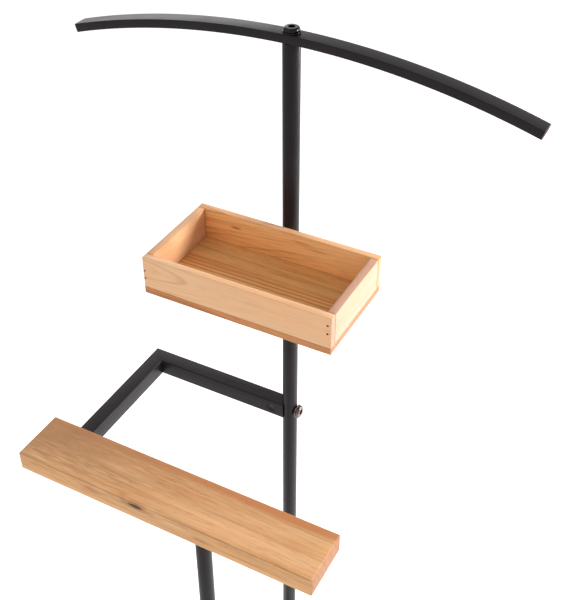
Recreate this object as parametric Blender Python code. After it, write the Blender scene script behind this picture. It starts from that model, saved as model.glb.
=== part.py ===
"""Valet stand: two round steel posts on a tube base, a wooden tray and rail, and an arched hanger bar.

Metres, +Z up, origin on the floor under the middle of the base. +X is to the right and -Y is the
front, where the wooden rail is. The hanger bar turns about the main post on its one bolt.
"""
import math

import bmesh
import bpy
from mathutils import Matrix, Vector

# ---------------------------------------------------------------- sizes, in metres

# Fits
GAP = 0.0003                  # between touching pieces
MERGE = 1e-6                  # points closer than this are one
CLEARANCE = 0.0003            # radial, round a bolt, screw, plug or nail in its hole

# Round posts
POST_D = 0.016
POST_WALL = 0.0012
POST_SPACING = 0.184          # main post behind, front post in front, centre to centre
MAIN_POST_Y = POST_SPACING / 2
FRONT_POST_Y = -POST_SPACING / 2

# Hanger bar: a rectangular tube bent to an arc, on top of the main post
BAR_TOP_Z = 1.044             # top of the arch, above the floor
BAR_SPAN = 0.448              # end to end, in a straight line
BAR_RADIUS = 0.760            # of the arch's underside
BAR_WIDTH = 0.016
BAR_HEIGHT = 0.008
BAR_WALL = 0.0011
BAR_CORNER_R = 0.0011

# Wooden tray
TRAY_TOP_Z = 0.855
TRAY_LENGTH = 0.191
TRAY_DEPTH = 0.104
TRAY_HEIGHT = 0.040
TRAY_OFFSET_X = 0.003         # of its middle from the post's
TRAY_BOARD_T = 0.0075
TRAY_BOTTOM_T = 0.007
TRAY_STANDOFF = 0.002         # between post and tray, filled by the saddles
TRAY_EDGE_R = 0.0005
SADDLE_WIDTH = 0.013
SADDLE_HEIGHT = 0.010
SADDLE_WRAP = 0.0035          # how far back the saddle's horns reach round the post
TRAY_SCREW_DROP = (0.010, 0.024)      # of each screw below the tray's top
BRAD_D = 0.0013
BRAD_HEAD_D = 0.0021
BRAD_HEAD_T = 0.0008
BRAD_LENGTH = 0.018
BRAD_SINK = 0.0001            # of the head below the wood
BRAD_INSET = {"left": 0.0020, "right": 0.0037}               # of a corner's brads from the board's end
BRAD_DROP = {"left": (0.0146, 0.0230), "right": (0.0087, 0.0176)}     # and below the tray's top
BOTTOM_BRADS_PER_SIDE = 2

# Bent arm between the main post and the rail
ARM_TOP_Z = 0.620
ARM_REACH = 0.179             # from the post's axis to the arm's outer side
ARM_WIDTH = 0.017
ARM_HEIGHT = 0.019
ARM_WALL = 0.0015
ARM_CORNER_R = 0.0015
ARM_FRONT_INSET = 0.020       # of the arm's front end behind the rail's front edge
ARM_CAP_T = 0.0013
ARM_FRONT_PLUG = 0.010        # of the front cap inside the tube
BARREL_NUT_D = 0.009
BARREL_NUT_SETBACK = 0.0192   # of its axis from the main post's
ARM_COPE = 0.0035             # how far the arm's hollowed end reaches round the main post

# Wooden rail
RAIL_LENGTH = 0.330
RAIL_DEPTH = 0.059
RAIL_THICKNESS = 0.022
RAIL_OFFSET_X = -0.031        # of its middle from the front post
RAIL_EDGE_R = 0.0018
RAIL_SCREW_SPACING = 0.014
RAIL_SCREW_COVER = 0.009      # of wood above a screw's tip

# Plate between the front post and the rail
FLANGE_LENGTH = 0.056
FLANGE_DEPTH = 0.028
FLANGE_T = 0.003
FLANGE_EDGE_R = 0.0003
FLANGE_SCREW_SPACING = 0.038

# Base: a spine along Y between two cross tubes along X
BASE_WIDTH = 0.380
BASE_DEPTH = 0.360
BASE_TUBE = 0.020
BASE_WALL = 0.0015
BASE_CORNER_R = 0.0015
BASE_CAP_T = 0.0025
BASE_CAP_PLUG = 0.012
FOOT_D = 0.018
FOOT_HEIGHT = 0.012           # from the floor to the tubes' undersides
FOOT_EDGE = 0.0015            # chamfer round a foot's underside
FOOT_STEM_D = 0.007
FOOT_STEM = 0.008
FOOT_INSET = 0.030            # of a foot's axis from the end of its tube

# Bolts, screws, washers and threaded plugs
BOLT_D = 0.006
BOLT_HEAD_D = 0.0145
BOLT_HEAD_H = 0.0033
BOLT_RIM_H = 0.0012           # straight side of the head, under its dome
BOLT_CROWN_D = 0.0100         # flat top of the dome
BOLT_SOCKET = 0.005           # across flats
BOLT_SOCKET_DEPTH = 0.0022
BAR_WASHER_D = 0.0158
BAR_WASHER_T = 0.0012
ARM_WASHER_D = 0.0155
ARM_WASHER_T = 0.0016
SCREW_D = 0.004
SCREW_HEAD_D = 0.0078
SCREW_HEAD_H = 0.0024
SCREW_RIM_H = 0.0008
SCREW_CROWN_D = 0.0045
SCREW_SOCKET = 0.0025
SCREW_SOCKET_DEPTH = 0.0012
PLUG_LENGTH = 0.022           # threaded plug in a post's end
PLUG_BITE = 0.016             # of a bolt's length inside a plug

# Facets
POST_SIDES = 32
BOLT_SIDES = 20
SMALL_SIDES = 10
BRAD_SIDES = 8
BAR_STEPS = 24
CORNER_STEPS = 2
DOME_STEPS = 3

# ---------------------------------------------------------------- places worked out from the sizes

POST_R = POST_D / 2
BASE_TOP_Z = FOOT_HEIGHT + BASE_TUBE
POST_BOTTOM_Z = BASE_TOP_Z + GAP
MAIN_POST_TOP_Z = BAR_TOP_Z - BAR_HEIGHT - GAP
RAIL_BOTTOM_Z = ARM_TOP_Z + GAP
FLANGE_TOP_Z = RAIL_BOTTOM_Z - GAP
FRONT_POST_TOP_Z = FLANGE_TOP_Z - FLANGE_T - GAP
RAIL_FRONT_Y = FRONT_POST_Y - RAIL_DEPTH / 2
RAIL_BACK_Y = FRONT_POST_Y + RAIL_DEPTH / 2
RAIL_SCREW_BITE = RAIL_THICKNESS - RAIL_SCREW_COVER
ARM_MID_Z = ARM_TOP_Z - ARM_HEIGHT / 2
ARM_END_X = -POST_R + ARM_COPE
ARM_CORNER_X = -ARM_REACH + ARM_WIDTH / 2
ARM_NUT_X = -BARREL_NUT_SETBACK
ARM_FRONT_Y = RAIL_FRONT_Y + ARM_FRONT_INSET
ARM_SCREWS_Y = (RAIL_BACK_Y + ARM_FRONT_Y + ARM_FRONT_PLUG) / 2
ARM_PLUG_X = -POST_R - 2 * GAP
ARM_END_PLUG = ARM_PLUG_X - ARM_NUT_X - BARREL_NUT_D / 2 - CLEARANCE - GAP
TRAY_BACK_Y = MAIN_POST_Y - POST_R - TRAY_STANDOFF
TRAY_MID_Y = TRAY_BACK_Y - TRAY_DEPTH / 2
TRAY_FLOOR_Z = TRAY_TOP_Z - TRAY_HEIGHT + TRAY_BOTTOM_T
TRAY_WALL_H = TRAY_HEIGHT - TRAY_BOTTOM_T - GAP
TRAY_WALL_MID_Z = TRAY_TOP_Z - TRAY_WALL_H / 2
CROSS_TUBE_Y = (BASE_DEPTH - BASE_TUBE) / 2

POWDER_COAT = ("powder_coat", (0.042, 0.038, 0.040), 0.45, 0.35)
BLACK_PLASTIC = ("black_plastic", (0.018, 0.018, 0.019), 0.55, 0.0)
BRIGHT_STEEL = ("bright_steel", (0.62, 0.60, 0.58), 0.28, 1.0)
DARK_STEEL = ("dark_steel", (0.060, 0.057, 0.060), 0.22, 0.9)
TRAY_WOOD = ("tray_wood", (0.700, 0.420, 0.215), 0.62, 0.0)
RAIL_WOOD = ("rail_wood", (0.640, 0.370, 0.190), 0.60, 0.0)


# ---------------------------------------------------------------- modelling helpers

def clear_scene():
    for obj in list(bpy.data.objects):
        bpy.data.objects.remove(obj, do_unlink=True)


def material(spec, node):
    """A Principled material of the spec's colour, roughness and metallic value, for one node."""
    name, colour, roughness, metallic = spec
    mat = bpy.data.materials.new(name + "_" + node)
    mat.use_nodes = True
    shader = mat.node_tree.nodes["Principled BSDF"]
    shader.inputs["Base Color"].default_value = (*colour, 1.0)
    shader.inputs["Roughness"].default_value = roughness
    shader.inputs["Metallic"].default_value = metallic
    mat.diffuse_color = (*colour, 1.0)
    return mat


def finish(name, bm, spec, location=(0, 0, 0), rotation=(0, 0, 0), parent=None):
    """Turn a bmesh into the named object, shaded smooth with sharp edges kept."""
    bmesh.ops.recalc_face_normals(bm, faces=bm.faces)
    mesh = bpy.data.meshes.new(name)
    bm.to_mesh(mesh)
    bm.free()
    mesh.shade_smooth()
    mesh.set_sharp_from_angle(angle=math.radians(35))
    mesh.materials.append(material(spec, name))
    obj = bpy.data.objects.new(name, mesh)
    bpy.context.scene.collection.objects.link(obj)
    obj.location = location
    obj.rotation_euler = rotation
    obj.parent = parent
    return obj


def rectangle(width, height):
    return [(sx * width / 2, sy * height / 2) for sx, sy in ((1, 1), (-1, 1), (-1, -1), (1, -1))]


def rounded_rectangle(width, height, radius):
    """Points of a rectangle round the origin, its corners turned as arcs."""
    points = []
    for turn, (sx, sy) in enumerate(((1, 1), (-1, 1), (-1, -1), (1, -1))):
        cx = sx * (width / 2 - radius)
        cy = sy * (height / 2 - radius)
        for step in range(CORNER_STEPS + 1):
            angle = (turn + step / CORNER_STEPS) * math.pi / 2
            points.append((cx + radius * math.cos(angle), cy + radius * math.sin(angle)))
    return points


def circle(diameter, sides):
    angles = [2 * math.pi * k / sides for k in range(sides)]
    return [(diameter / 2 * math.cos(a), diameter / 2 * math.sin(a)) for a in angles]


def add_loop(bm, points):
    verts = [bm.verts.new((x, y, 0.0)) for x, y in points]
    return [bm.edges.new((a, b)) for a, b in zip(verts, verts[1:] + verts[:1])]


def section_faces(bm, outer, inner=None):
    """The flat section of a bar, or of a tube where inner is given."""
    edges = add_loop(bm, outer)
    if inner is None:
        return bmesh.ops.contextual_create(bm, geom=edges)["faces"]
    edges += add_loop(bm, inner)
    return bmesh.ops.bridge_loops(bm, edges=edges)["faces"]


def prism(outer, length, inner=None):
    """A section drawn along +Z."""
    bm = bmesh.new()
    faces = section_faces(bm, outer, inner)
    raised = bmesh.ops.extrude_face_region(bm, geom=faces)["geom"]
    top = [item for item in raised if isinstance(item, bmesh.types.BMVert)]
    bmesh.ops.translate(bm, verts=top, vec=(0, 0, length))
    return bm


def square_tube(width, height, wall, radius, length):
    inner = rectangle(width - 2 * wall, height - 2 * wall)
    return prism(rounded_rectangle(width, height, radius), length, inner)


def round_tube(diameter, bore, length, sides):
    return prism(circle(diameter, sides), length, circle(bore, sides))


def block(size, radius, steps=1):
    """A block round the origin, every edge eased."""
    bm = bmesh.new()
    bmesh.ops.create_cube(bm, size=1.0, matrix=Matrix.Diagonal((*size, 1.0)))
    bmesh.ops.bevel(bm, geom=list(bm.edges), offset=radius, segments=steps, profile=0.5,
                    affect="EDGES", clamp_overlap=True, material=-1)
    return bm


def turned(profile, sides):
    """A profile of (radius, height) points turned about Z. It starts and ends on the axis."""
    bm = bmesh.new()
    verts = [bm.verts.new((r, 0.0, z)) for r, z in profile]
    edges = [bm.edges.new(pair) for pair in zip(verts, verts[1:])]
    bmesh.ops.spin(bm, geom=verts + edges, axis=(0, 0, 1), cent=(0, 0, 0), dvec=(0, 0, 0),
                   angle=2 * math.pi, steps=sides, use_merge=True, use_duplicate=False)
    bmesh.ops.remove_doubles(bm, verts=bm.verts, dist=MERGE)
    return bm


def dome(rim_d, rim_h, crown_d, height):
    """Profile points of a button head, from the top of its rim to the edge of its crown."""
    points = []
    for step in range(DOME_STEPS + 1):
        angle = math.pi / 2 * step / DOME_STEPS
        radius = crown_d / 2 + (rim_d - crown_d) / 2 * math.cos(angle)
        points.append((radius, rim_h + (height - rim_h) * math.sin(angle)))
    return points


def fastener(head_d, head_h, rim_h, crown_d, shank_d, length, sides):
    """A button-head bolt on Z: the head's underside at 0, the shank below."""
    profile = [(0, -length), (shank_d / 2, -length), (shank_d / 2, 0), (head_d / 2, 0)]
    profile += dome(head_d, rim_h, crown_d, head_h)
    profile.append((0, head_h))
    return turned(profile, sides)


def copy_of(original, name, location, rotation=(0, 0, 0)):
    """Another piece of the same mesh."""
    obj = bpy.data.objects.new(name, original.data)
    bpy.context.scene.collection.objects.link(obj)
    obj.location = location
    obj.rotation_euler = rotation
    return obj


def cutter(name, bm, location, rotation=(0, 0, 0)):
    """A shape that only cuts others."""
    obj = finish("cut_" + name, bm, BLACK_PLASTIC, location, rotation)
    obj.hide_render = True
    obj.display_type = "WIRE"
    return obj


def cut(target, tool):
    modifier = target.modifiers.new(tool.name, "BOOLEAN")
    modifier.operation = "DIFFERENCE"
    modifier.solver = "EXACT"
    modifier.object = tool


ALONG = {"x": (0, math.pi / 2, 0), "y": (-math.pi / 2, 0, 0), "z": (0, 0, 0)}


def drill(targets, name, diameter, length, centre, axis, sides=BOLT_SIDES):
    """One straight round hole through every target. Its length is measured about the centre."""
    bm = prism(circle(diameter, sides), length)
    bmesh.ops.translate(bm, verts=bm.verts, vec=(0, 0, -length / 2))
    tool = cutter(name, bm, centre, ALONG[axis])
    for target in targets:
        cut(target, tool)


def sink_socket(target, name, across_flats, depth, top, rotation=(0, 0, 0)):
    """A hexagon socket in a head: top is the middle of the head's crown."""
    height = 2 * depth
    bm = prism(circle(across_flats / math.cos(math.pi / 6), 6), height)
    bmesh.ops.translate(bm, verts=bm.verts, vec=(0, 0, -depth))
    cut(target, cutter(name, bm, top, rotation))


def hole(diameter):
    return diameter + 2 * CLEARANCE


def bolt(name, spec, grip, location, rotation=(0, 0, 0), parent=None):
    """One bolt. Its head's underside is at the location, and the shank reaches down by grip."""
    bm = fastener(BOLT_HEAD_D, BOLT_HEAD_H, BOLT_RIM_H, BOLT_CROWN_D, BOLT_D, grip, BOLT_SIDES)
    obj = finish(name, bm, spec, location, rotation, parent)
    turn = obj.rotation_euler.to_matrix()
    top = Vector(location) + turn @ Vector((0, 0, BOLT_HEAD_H))
    if parent is not None:
        top += parent.location
    sink_socket(obj, name + "_socket", BOLT_SOCKET, BOLT_SOCKET_DEPTH, top, rotation)
    return obj


def screws(name, grip, places, rotation):
    """Like screws, one object at each place: the middle of its head's underside."""
    shape = fastener(SCREW_HEAD_D, SCREW_HEAD_H, SCREW_RIM_H, SCREW_CROWN_D, SCREW_D, grip,
                     SMALL_SIDES)
    first = None
    for number, place in enumerate(places, 1):
        node = f"{name}_{number}"
        if first is None:
            screw = finish(node, shape, BRIGHT_STEEL, place, rotation)
            first = screw
        else:
            screw = copy_of(first, node, place, rotation)
        top = place + screw.rotation_euler.to_matrix() @ Vector((0, 0, SCREW_HEAD_H))
        sink_socket(screw, node + "_socket", SCREW_SOCKET, SCREW_SOCKET_DEPTH, top, rotation)


# ---------------------------------------------------------------- posts

def threaded_plug(name, y, bottom_z):
    """A steel plug in a post's end, bored for its bolt."""
    outside = POST_D - 2 * POST_WALL - 2 * CLEARANCE
    finish(name, round_tube(outside, hole(BOLT_D), PLUG_LENGTH, BOLT_SIDES), BRIGHT_STEEL,
           (0, y, bottom_z))


def make_posts():
    bore = POST_D - 2 * POST_WALL
    main = finish("main_post", round_tube(POST_D, bore, MAIN_POST_TOP_Z - POST_BOTTOM_Z, POST_SIDES),
                  POWDER_COAT, (0, MAIN_POST_Y, POST_BOTTOM_Z))
    finish("front_post", round_tube(POST_D, bore, FRONT_POST_TOP_Z - POST_BOTTOM_Z, POST_SIDES),
           POWDER_COAT, (0, FRONT_POST_Y, POST_BOTTOM_Z))
    threaded_plug("main_post_top_plug", MAIN_POST_Y, MAIN_POST_TOP_Z - PLUG_LENGTH)
    threaded_plug("main_post_foot_plug", MAIN_POST_Y, POST_BOTTOM_Z)
    threaded_plug("front_post_foot_plug", FRONT_POST_Y, POST_BOTTOM_Z)
    return main


# ---------------------------------------------------------------- hanger bar

def make_hanger():
    """The bar, its washer and its bolt, under an empty on the main post's axis."""
    pivot = bpy.data.objects.new("hanger_pivot", None)
    bpy.context.scene.collection.objects.link(pivot)
    pivot.location = (0, MAIN_POST_Y, BAR_TOP_Z)

    mid_radius = BAR_RADIUS + BAR_HEIGHT / 2
    half_angle = math.asin(BAR_SPAN / 2 / (BAR_RADIUS + BAR_HEIGHT))
    outer = rounded_rectangle(BAR_WIDTH, BAR_HEIGHT, BAR_CORNER_R)
    inner = rectangle(BAR_WIDTH - 2 * BAR_WALL, BAR_HEIGHT - 2 * BAR_WALL)
    bm = bmesh.new()
    faces = section_faces(bm, outer, inner)
    # The section stands across X: its width lies along Y and its height along the arch's radius.
    stand_up = Matrix(((0, 0, 1, 0), (1, 0, 0, 0), (0, 1, 0, 0), (0, 0, 0, 1)))
    to_end = Matrix.Rotation(-half_angle, 4, "Y") @ Matrix.Translation((0, 0, mid_radius)) @ stand_up
    bmesh.ops.transform(bm, matrix=to_end, verts=bm.verts)
    geometry = list(bm.verts) + list(bm.edges) + faces
    bmesh.ops.spin(bm, geom=geometry, axis=(0, 1, 0), cent=(0, 0, 0), dvec=(0, 0, 0),
                   angle=2 * half_angle, steps=BAR_STEPS, use_merge=False, use_duplicate=False)
    bmesh.ops.translate(bm, verts=bm.verts, vec=(0, 0, -BAR_RADIUS - BAR_HEIGHT))
    bar = finish("hanger_bar", bm, POWDER_COAT, parent=pivot)
    drill([bar], "bar_bolt_hole", hole(BOLT_D), 4 * BAR_HEIGHT, (0, MAIN_POST_Y, BAR_TOP_Z), "z")

    washer = round_tube(BAR_WASHER_D, hole(BOLT_D), BAR_WASHER_T, BOLT_SIDES)
    finish("bar_washer", washer, DARK_STEEL, (0, 0, GAP), parent=pivot)
    head_z = BAR_WASHER_T + 2 * GAP
    bolt("bar_bolt", DARK_STEEL, head_z + BAR_HEIGHT + GAP + PLUG_BITE, (0, 0, head_z), parent=pivot)


# ---------------------------------------------------------------- tray

def brad_places():
    """Each brad's name, the middle of its head and its turn, for the tray's corners and bottom."""
    front_y = TRAY_BACK_Y - TRAY_DEPTH + BRAD_SINK
    back_y = TRAY_BACK_Y - BRAD_SINK
    bottom_z = TRAY_TOP_Z - TRAY_HEIGHT + BRAD_SINK
    pitch = TRAY_DEPTH / (BOTTOM_BRADS_PER_SIDE + 1)
    places = []
    for side, sx in (("left", -1), ("right", 1)):
        x = TRAY_OFFSET_X + sx * (TRAY_LENGTH / 2 - BRAD_INSET[side])
        for number, drop in enumerate(BRAD_DROP[side], 1):
            z = TRAY_TOP_Z - drop
            places.append((f"brad_front_{side}_{number}", (x, front_y, z), (math.pi / 2, 0, 0)))
            places.append((f"brad_back_{side}_{number}", (x, back_y, z), (-math.pi / 2, 0, 0)))
        x = TRAY_OFFSET_X + sx * (TRAY_LENGTH - TRAY_BOARD_T) / 2
        for number in range(1, BOTTOM_BRADS_PER_SIDE + 1):
            y = TRAY_BACK_Y - pitch * number
            places.append((f"brad_bottom_{side}_{number}", (x, y, bottom_z), (math.pi, 0, 0)))
    return places


def brad_shape(extra=0.0, over=0.0):
    """A brad on Z, its head's face at 0. Extra thickens and over lengthens it, to cut its hole."""
    shank_r = BRAD_D / 2 + extra
    head_r = BRAD_HEAD_D / 2 + extra
    neck = -BRAD_HEAD_T - extra
    tip = -BRAD_LENGTH - extra
    profile = [(0, tip), (shank_r, tip), (shank_r, neck), (head_r, neck), (head_r, over), (0, over)]
    return turned(profile, BRAD_SIDES)


def drive_brads(boards):
    """The brads as objects that share a mesh, and a hole for each in the boards."""
    first = None
    for name, place, turn in brad_places():
        if first is None:
            first = finish(name, brad_shape(), BRIGHT_STEEL, place, turn)
        else:
            copy_of(first, name, place, turn)
        tool = cutter(name + "_hole", brad_shape(CLEARANCE, BRAD_HEAD_T), place, turn)
        for board in boards:
            if within(place, board):
                cut(board, tool)


def within(place, board):
    """Whether a brad starting at the place can reach the board."""
    corners = [board.matrix_basis @ Vector(corner) for corner in board.bound_box]
    low = [min(corner[i] for corner in corners) - BRAD_LENGTH for i in range(3)]
    high = [max(corner[i] for corner in corners) + BRAD_LENGTH for i in range(3)]
    return all(low[i] <= place[i] <= high[i] for i in range(3))


def saddle(name, z):
    """A spacer that fits the round post behind and the flat tray in front."""
    front_y = TRAY_BACK_Y + GAP
    depth = TRAY_STANDOFF + SADDLE_WRAP - GAP
    bm = block((SADDLE_WIDTH, depth, SADDLE_HEIGHT), TRAY_EDGE_R)
    obj = finish(name, bm, BLACK_PLASTIC, (0, front_y + depth / 2, z))
    return obj


def make_tray(main_post):
    side_depth = TRAY_DEPTH - 2 * TRAY_BOARD_T - 2 * GAP
    long_board = (TRAY_LENGTH, TRAY_BOARD_T, TRAY_WALL_H)
    end_board = (TRAY_BOARD_T, side_depth, TRAY_WALL_H)
    front_y = TRAY_BACK_Y - TRAY_DEPTH + TRAY_BOARD_T / 2
    back_y = TRAY_BACK_Y - TRAY_BOARD_T / 2
    side_x = TRAY_LENGTH / 2 - TRAY_BOARD_T / 2
    boards = {
        "tray_front_board": (long_board, (TRAY_OFFSET_X, front_y, TRAY_WALL_MID_Z)),
        "tray_back_board": (long_board, (TRAY_OFFSET_X, back_y, TRAY_WALL_MID_Z)),
        "tray_left_board": (end_board, (TRAY_OFFSET_X - side_x, TRAY_MID_Y, TRAY_WALL_MID_Z)),
        "tray_right_board": (end_board, (TRAY_OFFSET_X + side_x, TRAY_MID_Y, TRAY_WALL_MID_Z)),
        "tray_bottom_board": ((TRAY_LENGTH, TRAY_DEPTH, TRAY_BOTTOM_T),
                              (TRAY_OFFSET_X, TRAY_MID_Y, TRAY_FLOOR_Z - TRAY_BOTTOM_T / 2)),
    }
    objects = {}
    for name, (size, place) in boards.items():
        objects[name] = finish(name, block(size, TRAY_EDGE_R), TRAY_WOOD, place)

    drive_brads(objects.values())

    screw_z = [TRAY_TOP_Z - drop for drop in TRAY_SCREW_DROP]
    saddles = [saddle("tray_saddle_upper", screw_z[0]), saddle("tray_saddle_lower", screw_z[1])]
    post_shape = prism(circle(POST_D + 2 * GAP, POST_SIDES), TRAY_HEIGHT)
    hollow = cutter("saddle_hollow", post_shape, (0, MAIN_POST_Y, TRAY_TOP_Z - TRAY_HEIGHT))
    for obj in saddles:
        cut(obj, hollow)

    head_y = MAIN_POST_Y + POST_R + GAP
    bite = TRAY_BOARD_T - CLEARANCE - 2 * GAP
    grip = POST_D + TRAY_STANDOFF + GAP + bite
    screws("tray_screw", grip, [Vector((0, head_y, z)) for z in screw_z], (-math.pi / 2, 0, 0))
    hole_length = 2 * (grip + CLEARANCE)
    for number, z in enumerate(screw_z):
        drill([main_post, objects["tray_back_board"], *saddles], f"tray_screw_hole_{number}",
              hole(SCREW_D), hole_length, (0, head_y, z), "y", SMALL_SIDES)


# ---------------------------------------------------------------- arm and rail

def end_plug(name, size, wall, radius, flange, plug, place, rotation):
    """A cap on a tube's open end: a flange outside along +Z, a plug inside along -Z."""
    width, height = size
    bm = prism(rounded_rectangle(width, height, radius), flange)
    bmesh.ops.translate(bm, verts=bm.verts, vec=(0, 0, GAP))
    face = min(bm.faces, key=lambda f: f.calc_center_median().z)
    bm.normal_update()
    inset = wall + CLEARANCE
    bmesh.ops.inset_region(bm, faces=[face], thickness=inset, use_even_offset=True)
    moved = bmesh.ops.extrude_face_region(bm, geom=[face])["geom"]
    verts = [item for item in moved if isinstance(item, bmesh.types.BMVert)]
    bmesh.ops.translate(bm, verts=verts, vec=(0, 0, -plug - GAP))
    bmesh.ops.delete(bm, geom=[face], context="FACES_ONLY")
    return finish(name, bm, BLACK_PLASTIC, place, rotation)


def make_arm(main_post):
    half = ARM_WIDTH / 2
    # Side tube: drawn along +Z, then laid along X with its width across Y. Its mitre is at the far end.
    side_run = ARM_END_X - ARM_CORNER_X
    mitre_gap = GAP / 2 * math.sqrt(2)
    bm = square_tube(ARM_HEIGHT, ARM_WIDTH, ARM_WALL, ARM_CORNER_R, side_run)
    for vert in bm.verts:
        if vert.co.z > side_run / 2:
            vert.co.z += vert.co.y - mitre_gap
    lay_along_x = (0, -math.pi / 2, 0)
    side = finish("arm_side_tube", bm, POWDER_COAT, (ARM_END_X, MAIN_POST_Y, ARM_MID_Z), lay_along_x)

    front_run = MAIN_POST_Y - ARM_FRONT_Y
    bm = square_tube(ARM_WIDTH, ARM_HEIGHT, ARM_WALL, ARM_CORNER_R, front_run)
    for vert in bm.verts:
        if vert.co.z < front_run / 2:
            vert.co.z += vert.co.x + mitre_gap
    front = finish("arm_front_tube", bm, POWDER_COAT, (ARM_CORNER_X, MAIN_POST_Y, ARM_MID_Z),
                   (math.pi / 2, 0, 0))

    drill([side], "arm_cope", POST_D + 2 * GAP, 2 * ARM_HEIGHT, (0, MAIN_POST_Y, ARM_MID_Z), "z",
          POST_SIDES)
    inset = 2 * (ARM_WALL + CLEARANCE)
    bm = prism(rectangle(ARM_HEIGHT - inset, ARM_WIDTH - inset), ARM_END_PLUG)
    end_cap = finish("arm_end_cap", bm, BLACK_PLASTIC, (ARM_PLUG_X, MAIN_POST_Y, ARM_MID_Z),
                     lay_along_x)
    end_plug("arm_front_cap", (ARM_WIDTH, ARM_HEIGHT), ARM_WALL, ARM_CORNER_R, ARM_CAP_T,
             ARM_FRONT_PLUG, (ARM_CORNER_X, ARM_FRONT_Y, ARM_MID_Z), (math.pi / 2, 0, 0))

    nut_length = ARM_WIDTH - 2 * GAP
    bm = prism(circle(BARREL_NUT_D, BOLT_SIDES), nut_length)
    bmesh.ops.translate(bm, verts=bm.verts, vec=(0, 0, -nut_length / 2))
    nut_place = (ARM_NUT_X, MAIN_POST_Y, ARM_MID_Z)
    nut = finish("arm_barrel_nut", bm, DARK_STEEL, nut_place, ALONG["y"])
    drill([side], "barrel_nut_hole", hole(BARREL_NUT_D), 2 * ARM_WIDTH, nut_place, "y")

    washer_x = POST_R + GAP
    washer = round_tube(ARM_WASHER_D, hole(BOLT_D), ARM_WASHER_T, BOLT_SIDES)
    finish("arm_washer", washer, BRIGHT_STEEL, (washer_x, MAIN_POST_Y, ARM_MID_Z), ALONG["x"])
    head_x = washer_x + ARM_WASHER_T + GAP
    grip = head_x - ARM_NUT_X + BARREL_NUT_D / 2 + BOLT_D / 4
    bolt("arm_bolt", BRIGHT_STEEL, grip, (head_x, MAIN_POST_Y, ARM_MID_Z), ALONG["x"])
    drill([main_post, end_cap, nut], "arm_bolt_hole", hole(BOLT_D), 2 * (grip + CLEARANCE),
          (head_x, MAIN_POST_Y, ARM_MID_Z), "x")
    return front


def make_rail(arm_front):
    size = (RAIL_LENGTH, RAIL_DEPTH, RAIL_THICKNESS)
    middle = (RAIL_OFFSET_X, FRONT_POST_Y, RAIL_BOTTOM_Z + RAIL_THICKNESS / 2)
    rail = finish("rail", block(size, RAIL_EDGE_R, CORNER_STEPS), RAIL_WOOD, middle)

    upward = (math.pi, 0, 0)
    arm_head_z = ARM_TOP_Z - ARM_HEIGHT - GAP
    arm_grip = RAIL_BOTTOM_Z - arm_head_z + RAIL_SCREW_BITE
    places = [Vector((ARM_CORNER_X, ARM_SCREWS_Y + side * RAIL_SCREW_SPACING / 2, arm_head_z))
              for side in (-1, 1)]
    screws("rail_arm_screw", arm_grip, places, upward)
    for number, place in enumerate(places):
        drill([rail, arm_front], f"rail_arm_hole_{number}", hole(SCREW_D),
              2 * (arm_grip + CLEARANCE), place, "z", SMALL_SIDES)

    plate = block((FLANGE_LENGTH, FLANGE_DEPTH, FLANGE_T), FLANGE_EDGE_R)
    flange = finish("front_flange", plate, POWDER_COAT,
                    (0, FRONT_POST_Y, FLANGE_TOP_Z - FLANGE_T / 2))
    flange_head_z = FLANGE_TOP_Z - FLANGE_T - GAP
    flange_grip = RAIL_BOTTOM_Z - flange_head_z + RAIL_SCREW_BITE
    places = [Vector((side * FLANGE_SCREW_SPACING / 2, FRONT_POST_Y, flange_head_z))
              for side in (-1, 1)]
    screws("flange_screw", flange_grip, places, upward)
    for number, place in enumerate(places):
        drill([rail, flange], f"flange_hole_{number}", hole(SCREW_D),
              2 * (flange_grip + CLEARANCE), place, "z", SMALL_SIDES)


# ---------------------------------------------------------------- base

def foot(name, x, y):
    """A glide under a tube, its stem up through the tube's lower wall."""
    top = FOOT_HEIGHT - GAP
    profile = [(0, 0), (FOOT_D / 2 - FOOT_EDGE, 0), (FOOT_D / 2, FOOT_EDGE), (FOOT_D / 2, top),
               (FOOT_STEM_D / 2, top), (FOOT_STEM_D / 2, FOOT_HEIGHT + FOOT_STEM),
               (0, FOOT_HEIGHT + FOOT_STEM)]
    finish(name, turned(profile, BOLT_SIDES), BLACK_PLASTIC, (x, y, 0))


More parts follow.
